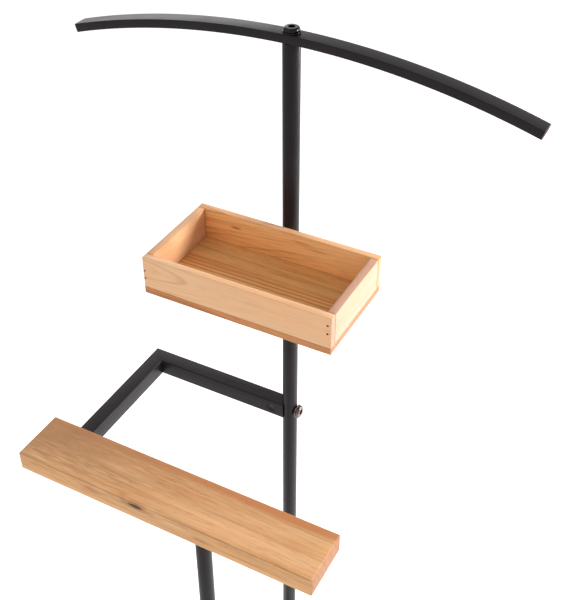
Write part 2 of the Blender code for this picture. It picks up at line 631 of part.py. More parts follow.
def make_base():
    mid_z = FOOT_HEIGHT + BASE_TUBE / 2
    cross_length = BASE_WIDTH - 2 * BASE_CAP_T - 2 * GAP
    spine_length = BASE_DEPTH - 2 * BASE_TUBE - 2 * GAP
    tube = (BASE_TUBE, BASE_TUBE, BASE_WALL, BASE_CORNER_R)
    spine = finish("base_spine", square_tube(*tube, spine_length), POWDER_COAT,
                   (0, spine_length / 2, mid_z), (math.pi / 2, 0, 0))
    for side, sy in (("front", -1), ("rear", 1)):
        y = sy * CROSS_TUBE_Y
        cross = finish(f"base_{side}_tube", square_tube(*tube, cross_length), POWDER_COAT,
                       (-cross_length / 2, y, mid_z), ALONG["x"])
        for end, sx in (("left", -1), ("right", 1)):
            turn = (math.pi / 2, 0, sx * math.pi / 2)
            end_plug(f"base_cap_{side}_{end}", (BASE_TUBE, BASE_TUBE), BASE_WALL, BASE_CORNER_R,
                     BASE_CAP_T, BASE_CAP_PLUG, (sx * cross_length / 2, y, mid_z), turn)
            foot_x = sx * (BASE_WIDTH / 2 - FOOT_INSET)
            foot(f"foot_{side}_{end}", foot_x, y)
            drill([cross], f"foot_{side}_{end}_hole", hole(FOOT_STEM_D), BASE_TUBE,
                  (foot_x, y, FOOT_HEIGHT), "z")
    head_z = FOOT_HEIGHT - GAP
    grip = POST_BOTTOM_Z - head_z + PLUG_BITE
    for name, y in (("main_post_foot_bolt", MAIN_POST_Y), ("front_post_foot_bolt", FRONT_POST_Y)):
        bolt(name, DARK_STEEL, grip, (0, y, head_z), (math.pi, 0, 0))
        drill([spine], name + "_hole", hole(BOLT_D), 4 * BASE_TUBE, (0, y, mid_z), "z")


def main():
    clear_scene()
    main_post = make_posts()
    make_hanger()
    make_tray(main_post)
    arm_front = make_arm(main_post)
    make_rail(arm_front)
    make_base()


main()
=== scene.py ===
"""Valet stand: powder-coated posts, bent arm and arched hanger bar, with a wooden tray and rail.

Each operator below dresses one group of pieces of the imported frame. Everything is in metres.
"""
import math
from dataclasses import dataclass

import bmesh
import bpy
from bpy.props import FloatProperty, FloatVectorProperty, IntProperty, PointerProperty
from mathutils import Matrix, Vector, noise


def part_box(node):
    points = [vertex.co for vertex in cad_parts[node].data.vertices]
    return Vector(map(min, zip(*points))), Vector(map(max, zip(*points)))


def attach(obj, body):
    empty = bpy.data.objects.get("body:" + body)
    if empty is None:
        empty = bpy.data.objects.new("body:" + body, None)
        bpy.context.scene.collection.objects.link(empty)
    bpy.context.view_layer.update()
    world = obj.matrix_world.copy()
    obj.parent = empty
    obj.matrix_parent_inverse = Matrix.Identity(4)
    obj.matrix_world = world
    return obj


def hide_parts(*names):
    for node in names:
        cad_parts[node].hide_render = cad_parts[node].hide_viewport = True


bl_info = {
    "name": "Valet Stand Maker",
    "version": (1, 0, 0),
    "blender": (4, 5, 0),
    "location": "View3D > Sidebar > Valet Stand",
    "description": "Dresses a valet stand's frame: steel tubes, wooden tray and rail, bolts, feet",
    "category": "Object",
}

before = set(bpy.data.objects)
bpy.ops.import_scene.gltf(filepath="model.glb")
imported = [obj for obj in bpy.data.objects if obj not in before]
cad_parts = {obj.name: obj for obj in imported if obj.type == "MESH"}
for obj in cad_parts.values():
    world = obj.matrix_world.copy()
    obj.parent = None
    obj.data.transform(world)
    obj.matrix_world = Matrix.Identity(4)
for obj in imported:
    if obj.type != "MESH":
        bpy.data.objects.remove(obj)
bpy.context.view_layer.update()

STAND = "stand"
HANGER = "hanger"
X, Y, Z = 0, 1, 2

GAP = 0.0003            # clearance between neighbouring parts of the frame
MERGE = 1e-6            # points closer than this are one
RIM = 0.0003            # easing of a cut tube's rims
BAR_RIM = 0.00022       # the same, for the hanger bar
CAP_EASE = 0.0008       # easing of a moulded cap's edges
PLATE_CORNER = 0.005    # corner radius of the plate under the rail
TUBE_STEPS = 5          # steps round a rectangular tube's corner
WASHER_BORE = 0.0064
FOOT_BOLT_HEAD = 0.0033
SCREW_HEAD = 0.0024
SOCKET_DEPTH = 0.55     # share of a bolt head's height
BRAD_R = 0.00062        # radius of a brad's shank
BRAD_POINT_R = 0.0003   # and of its blunted point
BRAD_PROUD = 0.00016    # how far a brad's head stands out
NUT_PLAY = 0.0003       # clearance round the barrel nut
# Crown, socket across its flats, and shank of the two sizes of button-head bolt
BOLT = (0.0104, 0.0058, 0.006)
SCREW = (0.0045, 0.0025, 0.004)

# Stands a section drawn on X and Y across X, its width along Y
ACROSS_X = Matrix(((0, 0, 1, 0), (1, 0, 0, 0), (0, 1, 0, 0), (0, 0, 0, 1)))

# Camera: degrees round from the front and up, metres from its target
CAMERA_AZIMUTH, CAMERA_ELEVATION, CAMERA_DISTANCE = 27.969, 37.842, 0.8761
CAMERA_TARGET = (0.0426, 0.0, 0.8400)
CAMERA_LENS, CAMERA_SENSOR = 59.85, 36.0
FLOOR_RADIUS, FLOOR_GLOW, SKY_STRENGTH = 14.0, 0.30, 0.86
# Name, place, target, size and watts
SOFT_BOXES = (
    ("key_right_behind", (1.75, 0.86, 1.24), (0.0, 0.0, 0.82), (0.50, 0.40), 46),
    ("strip_left_behind", (-1.50, 1.60, 1.62), (0.0, 0.0, 1.0), (1.3, 0.8), 7),
    ("strip_high_front", (-0.9, -1.1, 2.6), (0.0, 0.05, 1.0), (2.0, 0.22), 4),
    ("strip_right_edge", (1.25, 1.40, 1.10), (0.0, 0.0, 0.8), (0.12, 1.5), 26),
)


# ---------------------------------------------------------------- what a user may change

def length_setting(name, about, default, low, high):
    """A length in metres."""
    return FloatProperty(name=name, description=about, default=default, min=low, max=high,
                         unit="LENGTH")


def colour_setting(name, about, default):
    """A colour, as linear values."""
    return FloatVectorProperty(name=name, description=about, default=default, subtype="COLOR",
                               size=3, min=0, max=1)


class StandSizes(bpy.types.PropertyGroup):
    """Sizes of the details that the frame leaves open."""

    plank_ease: length_setting("Plank ease", "Radius of the rail's sanded edges",
                               0.0013, 0.0005, 0.005)
    board_ease: length_setting("Board ease", "Radius of the tray boards' edges",
                               0.0005, 0.0002, 0.002)
    board_waver: length_setting("Board waver", "How far a sawn face wanders from flat",
                                0.00012, 0.0, 0.0005)
    tube_corner: length_setting("Tube corner", "Outside corner radius of the arm and base tubes",
                                0.0011, 0.0005, 0.004)
    bar_corner: length_setting("Bar corner", "Outside corner radius of the hanger bar",
                               0.0008, 0.0005, 0.003)
    bar_wall: length_setting("Bar wall", "Wall thickness shown at the hanger bar's open ends",
                             0.0011, 0.0006, 0.003)
    post_wall: length_setting("Post wall", "Wall thickness of the round posts",
                              0.0012, 0.0006, 0.003)
    weld_bead: length_setting("Weld bead", "Width of a weld's bead", 0.0024, 0.001, 0.005)
    round_sides: IntProperty(
        name="Round sides", description="Sides of a round post", default=96, min=24, max=256)
    arch_steps: IntProperty(
        name="Arch steps", description="Lengths that the hanger bar's arch is made of",
        default=120, min=24, max=400)


class StandColours(bpy.types.PropertyGroup):
    """Main colours of the stand's finishes."""

    powder_coat: colour_setting("Powder coat", "Charcoal finish of the steel",
                                (0.0108, 0.0078, 0.0093))
    bright_steel: colour_setting("Bright steel", "Nickel-plated bolts and washers",
                                 (0.19, 0.150, 0.140))
    dark_steel: colour_setting("Dark steel", "Blackened bolts and washers", (0.030, 0.027, 0.028))
    black_plastic: colour_setting("Black plastic", "Caps, feet and spacers", (0.014, 0.014, 0.015))
    tray_pale: colour_setting("Tray front", "Palest board of the tray", (0.78, 0.465, 0.255))
    tray_golden: colour_setting("Tray back", "Golden back board of the tray", (0.87, 0.490, 0.205))
    tray_warm: colour_setting("Tray left", "Warm left board of the tray", (0.67, 0.37, 0.19))
    tray_cream: colour_setting("Tray right", "Creamy right board of the tray",
                               (0.57, 0.325, 0.222))
    tray_brown: colour_setting("Tray bottom", "Bottom board of the tray", (0.64, 0.33, 0.114))
    rail_tan: colour_setting("Rail", "Wooden rail", (0.585, 0.325, 0.150))
    floor: colour_setting("Floor", "Studio floor", (0.90, 0.90, 0.90))


def sizes():
    return bpy.context.scene.stand_sizes


def colours():
    return bpy.context.scene.stand_colours


# ---------------------------------------------------------------- finishes

class Finish:
    """A material built a node at a time. A value is a number, a vector or another node's output."""

    def __init__(self, name, roughness=0.5, metallic=0.0, specular=0.5):
        self.material = bpy.data.materials.new(name)
        self.material.use_nodes = True
        self.nodes = self.material.node_tree.nodes
        self.links = self.material.node_tree.links
        self.shader = self.nodes["Principled BSDF"]
        self.shader.inputs["Roughness"].default_value = roughness
        self.shader.inputs["Metallic"].default_value = metallic
        self.shader.inputs["Specular IOR Level"].default_value = specular
        coordinates = self.nodes.new("ShaderNodeTexCoord")
        self.place = coordinates.outputs["Object"]
        self.normal = coordinates.outputs["Normal"]

    def feed(self, socket, value):
        if isinstance(value, bpy.types.NodeSocket):
            self.links.new(value, socket)
        else:
            socket.default_value = value

    def add(self, kind, values, output=0, **settings):
        node = self.nodes.new("ShaderNode" + kind)
        for key, value in settings.items():
            setattr(node, key, value)
        for key, value in values.items():
            self.feed(node.inputs[key], value)
        return node.outputs[output]

    def math(self, operation, a, b=0.0):
        return self.add("Math", {0: a, 1: b}, operation=operation)

    def plus(self, a, b):
        return self.math("ADD", a, b)

    def minus(self, a, b):
        return self.math("SUBTRACT", a, b)

    def times(self, a, b):
        return self.math("MULTIPLY", a, b)

    def total(self, start, *terms, clamp=False):
        """start plus each value times its weight."""
        for value, weight in terms:
            start = self.add("Math", {0: value, 1: weight, 2: start}, operation="MULTIPLY_ADD",
                             use_clamp=clamp and value is terms[-1][0])
        return start

    def vector(self, operation, a, b=(0, 0, 0)):
        output = 1 if operation in ("LENGTH", "DISTANCE", "DOT_PRODUCT") else 0
        return self.add("VectorMath", {0: a, 1: b}, output, operation=operation)

    def parts(self, vector):
        node = self.nodes.new("ShaderNodeSeparateXYZ")
        self.feed(node.inputs[0], vector)
        return list(node.outputs)

    def joined(self, x=0.0, y=0.0, z=0.0):
        return self.add("CombineXYZ", {0: x, 1: y, 2: z})

    def grain(self, place, stretch, shift=(0, 0, 0), detail=2.0, rough=0.5, distortion=0.0):
        """Soft noise from -0.5 to 0.5, with so many changes a metre along each axis."""
        scaled = self.vector("MULTIPLY", place, stretch)
        moved = self.vector("ADD", scaled, shift)
        noisy = self.add("TexNoise", {"Vector": moved, "Scale": 1.0, "Detail": detail,
                                      "Roughness": rough, "Distortion": distortion})
        return self.minus(noisy, 0.5)

    def ease(self, value, low, high, start=0.0, end=1.0):
        """start below low, end above high, and a smooth change between them."""
        return self.add("MapRange", {"Value": value, "From Min": low, "From Max": high,
                                     "To Min": start, "To Max": end},
                        interpolation_type="SMOOTHSTEP")

    def ramp(self, value, stops, smooth=True):
        node = self.nodes.new("ShaderNodeValToRGB")
        node.color_ramp.interpolation = "EASE" if smooth else "LINEAR"
        elements = node.color_ramp.elements
        while len(elements) < len(stops):
            elements.new(0.5)
        for element, (position, colour) in zip(elements, stops):
            element.position = position
            element.color = (*colour, 1.0) if len(colour) == 3 else colour
        self.feed(node.inputs[0], value)
        return node.outputs[0]

    def mix(self, share, a, b, blend="MIX"):
        node = self.nodes.new("ShaderNodeMix")
        node.data_type = "RGBA"
        node.blend_type = blend
        node.clamp_factor = True
        for socket, value in ((node.inputs[0], share), (node.inputs[6], a), (node.inputs[7], b)):
            if not isinstance(value, (bpy.types.NodeSocket, float, int)):
                value = (*value, 1.0)
            self.feed(socket, value)
        return node.outputs[2]

    def colour(self, value):
        self.feed(self.shader.inputs["Base Color"], value)

    def roughness(self, value):
        self.feed(self.shader.inputs["Roughness"], value)

    def relief(self, height, depth, strength=1.0):
        bump = self.nodes.new("ShaderNodeBump")
        bump.inputs["Strength"].default_value = strength
        bump.inputs["Distance"].default_value = depth
        self.feed(bump.inputs["Height"], height)
        self.links.new(bump.outputs[0], self.shader.inputs["Normal"])


def shade(colour, factor):
    return tuple(min(1.0, c * factor) for c in colour)


def tinted(colour, tint):
    return tuple(min(1.0, c * t) for c, t in zip(colour, tint))


def powder_coat(name="powder_coat_skin", arch=None):
    """Baked charcoal powder: a fine orange-peel skin with faint specks and handling marks.

    arch: the middle and half angle of an arch whose cut ends are coloured a pale reddish grey."""
    made = bpy.data.materials.get(name)
    if made:
        return made
    skin = Finish(name, roughness=0.38, specular=0.17)
    base = tuple(colours().powder_coat)
    peel = skin.grain(skin.place, (520, 520, 520), detail=1.0)
    pits = skin.grain(skin.place, (1900, 1900, 1900), (7, 3, 1), detail=2.0)
    marks = skin.grain(skin.place, (38, 38, 24), (2, 9, 4), detail=4.0, rough=0.6)
    specks = skin.grain(skin.place, (2600, 2600, 2600), (1, 5, 8), detail=0.0)
    specks = skin.ease(specks, 0.18, 0.26)
    tone = skin.ramp(skin.plus(marks, 0.5), [(0.3, shade(base, 0.82)), (0.7, shade(base, 1.18))])
    tone = skin.mix(skin.times(specks, 0.5), tone, shade(base, 2.6))
    if arch:
        middle, half_angle = arch
        x, _, z = skin.parts(skin.vector("SUBTRACT", skin.place, tuple(middle)))
        past_end = skin.minus(skin.times(skin.math("ABSOLUTE", x), math.cos(half_angle)),
                              skin.times(z, math.sin(half_angle)))
        tone = skin.mix(skin.ease(past_end, -0.0008, -0.0001, 0.0, 0.75), tone, (0.36, 0.27, 0.25))
    skin.colour(tone)
    skin.roughness(skin.total(0.36, (marks, 0.14), (pits, 0.10)))
    skin.relief(skin.total(0.0, (peel, 0.7), (pits, 0.3)), 0.00009, 0.7)
    return skin.material


def steel(name, colour, roughness, centre, axis, wear, socket=0.0):
    """Turned and plated steel: rings round the axis, smudges and dust, and painted shade in its
    socket.
    """
    metal = Finish(name, metallic=1.0, specular=0.5)
    colour = tuple(colour)
    from_axis = [1.0, 1.0, 1.0]
    from_axis[axis] = 0.0
    offset = metal.vector("SUBTRACT", metal.place, tuple(centre))
    radius = metal.vector("LENGTH", metal.vector("MULTIPLY", offset, tuple(from_axis)))
    lathe = metal.grain(metal.joined(radius, 0, 0), (5200, 0, 0), (3, 1, 2), detail=1.0)
    smudge = metal.grain(metal.place, (240, 240, 240), (5, 2, 8), detail=4.0, rough=0.62)
    dust = metal.ease(metal.grain(metal.place, (900, 900, 900), (1, 1, 4), detail=3.0), 0.10, 0.22)
    tone = metal.ramp(metal.plus(smudge, 0.5), [(0.28, shade(colour, 1.0 - wear)), (0.7, colour)])
    tone = metal.mix(metal.times(dust, wear * 0.8), tone, tinted(colour, (0.42, 0.36, 0.32)))
    # Painted shade: the socket's hollow is coloured near black to stand in for the shade inside it.
    if socket:
        painted_socket_shade = metal.ease(radius, socket * 0.50, socket * 0.62, 0.94, 0.0)
        tone = metal.mix(painted_socket_shade, tone, (0.012, 0.010, 0.010))
    metal.colour(tone)
    metal.roughness(metal.total(roughness, (smudge, 0.22), (lathe, 0.10)))
    metal.relief(metal.total(lathe, (smudge, 0.6)), 0.00004, 0.5)
    return metal.material


def plastic():
    """Moulded black plastic with a fine spark-eroded texture."""
    made = bpy.data.materials.get("moulded_black")
    if made:
        return made
    skin = Finish("moulded_black", specular=0.45)
    base = tuple(colours().black_plastic)
    texture = skin.grain(skin.place, (2400, 2400, 2400), detail=2.0, rough=0.6)
    scuffs = skin.grain(skin.place, (160, 160, 420), (4, 4, 4), detail=4.0, rough=0.65)
    skin.colour(skin.ramp(skin.plus(scuffs, 0.5), [(0.35, base), (0.75, shade(base, 2.0))]))
    skin.roughness(skin.total(0.52, (scuffs, 0.25), (texture, 0.15)))
    skin.relief(texture, 0.00007, 0.6)
    return skin.material


@dataclass
class Timber:
    """How one board was sawn and what shows on it."""
    light: tuple            # its early wood
    dark: tuple             # its late wood
    pith: tuple             # the tree's heart, across and through the board, from its middle
    lean: tuple             # how far the heart wanders, across and through, in a metre of length
    ring: float             # spacing of the growth rings
    figure: float           # how strongly the rings show, and then the softer changes of tone
    streak: float
    cloud: float
    fibre: float
    pores: float
    waver: float            # how much darker the board is along its edges
    seed: float
    edge: float             # how dark the handled edges are
    plain: tuple = None     # (start, end, share), where along the board the rings fade to a share
    knots: tuple = ()       # (along, across, through, half length, half width) from the middle
    marks: tuple = ()       # the same, then a colour and a strength
    bands: tuple = ()       # (strength, across, half width, colour)
    end: tuple = None       # colour of the sawn ends
    side: tuple = None      # tint of the two faces across the board


def wood(name, box, axes, timber):
    """Solid wood: the same rings run through the board's faces, edges and ends.

    axes: the board's axes along, across and through it."""
    low, high = box
    middle = (low + high) / 2
    half = (high - low) / 2
    skin = Finish(name, specular=0.32)
    seed = Vector((timber.seed, timber.seed * 1.7, timber.seed * 0.6))
    raw = skin.parts(skin.vector("SUBTRACT", skin.place, tuple(middle)))
    place = skin.joined(raw[axes[0]], raw[axes[1]], raw[axes[2]])
    along, across, through = skin.parts(place)
    ragged = skin.grain(place, (55, 520, 520), seed * 1.9, detail=3.0, rough=0.6)

    def reach(at, long, broad, rough_edge):
        """Distance from a spot in the wood, 1 at its edge."""
        offset = skin.vector("SUBTRACT", place, at)
        scaled = skin.vector("MULTIPLY", offset, (1 / long, 1 / broad, 1 / broad))
        return skin.total(skin.vector("LENGTH", scaled), (ragged, rough_edge))

    # Growth rings: cones round the heart, bent by slow noise and pushed aside by knots
    bend = skin.grain(place, (6, 26, 26), seed, detail=2.0)
    sway = skin.grain(place, (5, 18, 18), seed * 2.3, detail=2.0)
    wide = skin.total(skin.minus(across, timber.pith[0]),
                      (along, timber.lean[0]), (bend, timber.waver * 4))
    deep = skin.total(skin.minus(through, timber.pith[1]),
                      (along, timber.lean[1]), (sway, timber.waver * 4))
    radius = skin.vector("LENGTH", skin.joined(0.0, wide, deep))
    for knot in timber.knots:
        push = skin.ease(reach(knot[:3], knot[3], knot[4], 0.3), 0.4, 4.0, timber.ring * 1.6, 0.0)
        radius = skin.plus(radius, push)
    ringwise = skin.joined(radius, 0, 0)
    count = skin.total(0.0, (radius, 1 / timber.ring),
                       (skin.grain(ringwise, (75, 0, 0), seed, detail=1.0), 3.2),
                       (skin.grain(ringwise, (260, 0, 0), seed * 1.4, detail=1.0), 1.4))
    late = skin.ramp(skin.math("FRACT", count),
                     [(0.0, (0.5,) * 3), (0.10, (0.06,) * 3), (0.5, (0.16,) * 3),
                      (0.86, (1.0,) * 3), (1.0, (0.5,) * 3)])
    season = skin.joined(skin.math("FLOOR", count), along, 0)
    boldness = skin.total(0.6, (skin.grain(season, (0.71, 3.0, 0), seed, detail=0.0), 1.7))
    figure = skin.times(skin.minus(skin.times(late, boldness), 0.2), timber.figure)
    if timber.plain:
        start, end, share = timber.plain
        figure = skin.times(figure, skin.ease(along, start, end, 1.0, share))

    # Softer changes of tone along the grain
    streak = skin.grain(place, (2.4, 130, 130), seed * 1.3, detail=3.0, rough=0.6)
    cloud = skin.grain(place, (7, 34, 34), seed * 0.7, detail=3.0)
    coarse = skin.grain(place, (13, 380, 380), seed * 2.9, detail=2.0, rough=0.6)
    fibre = skin.grain(place, (30, 1150, 1150), seed * 3.1, detail=3.0, rough=0.62)
    dashes = skin.ease(skin.grain(place, (75, 780, 780), seed * 4.7, detail=1.0), 0.13, 0.22)

    tone = skin.total(skin.plus(figure, 0.32), (streak, timber.streak), (cloud, timber.cloud),
                      (coarse, timber.fibre * 0.8), (fibre, timber.fibre * 0.6), clamp=True)
    middling = tuple((a + b) / 2 for a, b in zip(timber.light, timber.dark))
    colour = skin.ramp(tone, [(0.0, shade(timber.light, 1.08)), (0.28, timber.light),
                              (0.62, middling), (1.0, timber.dark)], smooth=False)
    warmth = skin.ease(skin.grain(place, (9, 55, 55), seed * 5.3, detail=2.0), -0.22, 0.22)
    warmth = skin.mix(warmth, (1.0, 0.93, 0.86), (0.96, 1.0, 1.04))
    colour = skin.mix(1.0, colour, warmth, "MULTIPLY")
    for strength, at, width, tint in timber.bands:
        near = skin.math("ABSOLUTE", skin.minus(skin.total(across, (bend, 0.005)), at))
        near = skin.total(near, (coarse, width * 0.9))
        colour = skin.mix(skin.ease(near, width * 0.3, width, strength, 0.0), colour, tint)
    for *spot, tint, strength in timber.marks:
        share = skin.ease(reach(spot[:3], spot[3], spot[4], 1.7), 0.1, 1.25, strength, 0.0)
        colour = skin.mix(share, colour, tint)
    colour = skin.mix(skin.times(dashes, timber.pores), colour, shade(timber.dark, 0.55))

    # Sawn ends show the rings across pores, a little darker
    turns = skin.parts(skin.normal)
    if timber.side:
        side_share = skin.ease(skin.math("ABSOLUTE", turns[axes[1]]), 0.55, 0.92)
        colour = skin.mix(side_share, colour, skin.mix(1.0, colour, timber.side, "MULTIPLY"))
    end_share = skin.ease(skin.math("ABSOLUTE", turns[axes[0]]), 0.55, 0.92)
    speckle = skin.grain(place, (300, 1500, 1500), seed, detail=2.0, rough=0.7)
    end_tone = skin.total(0.40, (speckle, 1.1), (late, 0.32), clamp=True)
    sawn = timber.end or shade(timber.dark, 1.15)
    end_colour = skin.ramp(end_tone, [(0.1, shade(sawn, 1.22)), (0.95, shade(sawn, 0.62))])
    colour = skin.mix(skin.times(end_share, 0.85), colour, end_colour)

    # Knots: a ring of stained wood, and a dark cracked heart
    for knot in timber.knots:
        away = reach(knot[:3], knot[3], knot[4], 0.9)
        colour = skin.mix(skin.ease(away, 0.9, 2.4, 0.5, 0.0), colour,
                          tinted(timber.dark, (0.72, 0.56, 0.46)))
        heart = skin.ramp(skin.plus(speckle, 0.5), [(0.35, (0.022, 0.010, 0.007)),
                                                    (0.8, (0.13, 0.055, 0.022))])
        colour = skin.mix(skin.ease(away, 0.6, 1.1, 0.96, 0.0), colour, heart)

    # Darker along the board's edges
    gaps = []
    for offset, extent in zip(raw, half):
        gaps.append(skin.minus(extent, skin.math("ABSOLUTE", offset)))
    nearest = skin.math("MINIMUM", gaps[0], gaps[1])
    farthest = skin.math("MAXIMUM", gaps[0], gaps[1])
    to_edge = skin.math("MAXIMUM", nearest, skin.math("MINIMUM", farthest, gaps[2]))
    ragged_edge_distance = skin.total(to_edge, (cloud, 0.0016), (coarse, 0.0012))
    edge_darkening = skin.ease(ragged_edge_distance, 0.0001, 0.0014, timber.edge, 0.0)
    colour = skin.mix(edge_darkening, colour, tinted(timber.dark, (0.62, 0.58, 0.62)))

    skin.colour(colour)
    skin.roughness(skin.total(0.60, (fibre, 0.22), (late, -0.08)))
    skin.relief(skin.total(0.0, (fibre, 0.7), (late, 0.22), (dashes, -0.35)), 0.00022, 0.65)
    return skin.material


# ---------------------------------------------------------------- modelling helpers

def place_piece(name, bm, body, nodes, material, sharp=38.0):
    """Turn a bmesh into a finished piece that stands for the named parts of the frame."""
    mesh = bpy.data.meshes.new(name)
    bm.to_mesh(mesh)
    bm.free()
    mesh.shade_smooth()
    mesh.set_sharp_from_angle(angle=math.radians(sharp))
    mesh.materials.append(material)
    obj = bpy.data.objects.new(name, mesh)
    bpy.context.scene.collection.objects.link(obj)
    if nodes:
        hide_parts(*nodes)
    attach(obj, body)
    return obj


def seat_of(node, axis, side=-1):
    """The middle of a node's face on one side (-1 or 1) along an axis."""
    low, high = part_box(node)
    seat = (low + high) / 2
    seat[axis] = (low if side < 0 else high)[axis]
    return seat


def coated(name, bm, nodes, sharp=38.0):
    """A powder-coated piece of the stand."""
    return place_piece(name, bm, STAND, nodes, powder_coat(), sharp)


def repaint(nodes, material):
    """Parts of the frame whose shape stays get a better finish."""
    for node in nodes:
        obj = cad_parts[node]
        obj.data.materials.clear()
        obj.data.materials.append(material)


def rounded_block(low, high, radius, steps, spans, waver):
    """A block with eased edges, cut in spans along each axis, its faces wavering inwards."""
    bm = bmesh.new()
    size, middle = high - low, (low + high) / 2
    matrix = Matrix.Translation(middle) @ Matrix.Diagonal((*size, 1.0))
    bmesh.ops.create_cube(bm, size=1.0, matrix=matrix)
    for axis, count in enumerate(spans):
        for step in range(1, count):
            normal = Vector((0, 0, 0))
            normal[axis] = 1.0
            point = low + size * (step / count)
            bmesh.ops.bisect_plane(bm, geom=bm.verts[:] + bm.edges[:] + bm.faces[:],
                                   plane_co=point, plane_no=normal, dist=1e-7)
    eased_rims(bm, radius, steps, 0.5)
    for vert in bm.verts:
        wander = noise.noise_vector(vert.co * 45.0)
        for axis in range(3):
            inward = -1.0 if vert.co[axis] > middle[axis] else 1.0
            vert.co[axis] += inward * waver * min(1.0, abs(wander[axis]) * 1.6)
    return bm


def rounded_face(bm, width, height, corner, steps):
    """A flat rounded rectangle round the origin, its width along X and its height along Y."""
    made = bmesh.ops.create_circle(bm, cap_ends=True, segments=4, radius=math.sqrt(0.5),
                                   matrix=Matrix.Diagonal((width, height, 1, 1))
                                   @ Matrix.Rotation(math.pi / 4, 4, "Z"))
    bmesh.ops.bevel(bm, geom=made["verts"], offset=corner, segments=steps, profile=0.5,
                    affect="VERTICES", clamp_overlap=True, material=-1)
    return bm.faces[:]


def extruded(bm, faces, move):
    """Push the faces out by a distance, and return the new far face's corners."""
    raised = bmesh.ops.extrude_face_region(bm, geom=faces)["geom"]
    verts = [item for item in raised if isinstance(item, bmesh.types.BMVert)]
    bmesh.ops.translate(bm, verts=verts, vec=move)
    return verts, [item for item in raised if isinstance(item, bmesh.types.BMFace)]


def eased_rims(bm, radius, steps=2, least=1.0):
    """Ease the edges that turn by more than least radians."""
    edges = [e for e in bm.edges if len(e.link_faces) == 2 and e.calc_face_angle() > least]
    bmesh.ops.bevel(bm, geom=edges, offset=radius, segments=steps, profile=0.5, affect="EDGES",
                    clamp_overlap=True, material=-1)


def tube(low, high, axis, corner, ease=0.0004):
    """A rectangular steel tube's outside, filling the box along the axis."""
    size = high - low
    spin = {X: Matrix.Rotation(math.pi / 2, 4, "Y"), Y: Matrix.Rotation(-math.pi / 2, 4, "X"),
            Z: Matrix.Identity(4)}[axis]
    width, height = {X: (size.z, size.y), Y: (size.x, size.z), Z: (size.x, size.y)}[axis]
    bm = bmesh.new()
    faces = rounded_face(bm, width, height, corner, TUBE_STEPS)
    extruded(bm, faces, (0, 0, size[axis]))
    bmesh.ops.translate(bm, verts=bm.verts, vec=(0, 0, -size[axis] / 2))
    bmesh.ops.recalc_face_normals(bm, faces=bm.faces)
    eased_rims(bm, ease)
    bmesh.ops.transform(bm, verts=bm.verts, matrix=Matrix.Translation((low + high) / 2) @ spin)
    return bm


def turned(profile, sides, centre, turn=None):
    """A profile of (radius, height) points spun round Z, then turned and put in place."""
    bm = bmesh.new()
    verts = [bm.verts.new((r, 0.0, z)) for r, z in profile]
    edges = [bm.edges.new(pair) for pair in zip(verts, verts[1:])]
    bmesh.ops.spin(bm, geom=verts + edges, axis=(0, 0, 1), cent=(0, 0, 0), dvec=(0, 0, 0),
                   angle=2 * math.pi, steps=sides, use_merge=True, use_duplicate=False)
    bmesh.ops.remove_doubles(bm, verts=bm.verts, dist=MERGE)
    bmesh.ops.recalc_face_normals(bm, faces=bm.faces)
    matrix = Matrix.Translation(centre)
    if turn is not None:
        matrix = matrix @ turn.to_4x4()
    bmesh.ops.transform(bm, verts=bm.verts, matrix=matrix)
    return bm


def rod(radius, half_length, sides, centre, turn=None):
    """A plain cylinder to cut a hole with."""
    return turned([(0, -half_length), (radius, -half_length), (radius, half_length),
                   (0, half_length)], sides, centre, turn)


def arc(centre, radius, start, end, steps):
    """Profile points on an arc, from one angle to another in degrees."""
    points = []
    for step in range(steps + 1):
        angle = math.radians(start + (end - start) * step / steps)
        points.append((centre[0] + radius * math.cos(angle), centre[1] + radius * math.sin(angle)))
    return points


def merged(*shapes):
    """Several bmeshes as one."""
    whole = bmesh.new()
    for shape in shapes:
        mesh = bpy.data.meshes.new("part")
        shape.to_mesh(mesh)
        shape.free()
        whole.from_mesh(mesh)
        bpy.data.meshes.remove(mesh)
    return whole


def carved(bm, *tools):
    """The shape with each tool cut out of it."""
    objects = []
    for shape in (bm, *tools):
        mesh = bpy.data.meshes.new("cut")
        shape.to_mesh(mesh)
        shape.free()
        obj = bpy.data.objects.new("cut", mesh)
        bpy.context.scene.collection.objects.link(obj)
        objects.append(obj)
    target = objects[0]
    for tool in objects[1:]:
        modifier = target.modifiers.new("cut", "BOOLEAN")
        modifier.operation = "DIFFERENCE"
        modifier.solver = "EXACT"
        modifier.object = tool
    bpy.context.view_layer.update()
    done = target.evaluated_get(bpy.context.evaluated_depsgraph_get()).to_mesh()
    result = bmesh.new()
    result.from_mesh(done)
    target.to_mesh_clear()
    for obj in objects:
        mesh = obj.data
        bpy.data.objects.remove(obj)
        bpy.data.meshes.remove(mesh)
    return result


def hexagon(across, depth, centre, turn):
    """A hexagonal pin to cut a socket with, sunk by depth below the centre along its own Z."""
    bm = bmesh.new()
    bmesh.ops.create_circle(bm, cap_ends=True, segments=6, radius=across / math.sqrt(3))
    extruded(bm, bm.faces[:], (0, 0, 2 * depth))
    bmesh.ops.translate(bm, verts=bm.verts, vec=(0, 0, -depth))
    bmesh.ops.recalc_face_normals(bm, faces=bm.faces)
    bmesh.ops.transform(bm, verts=bm.verts, matrix=Matrix.Translation(centre) @ turn.to_4x4())
    return bm


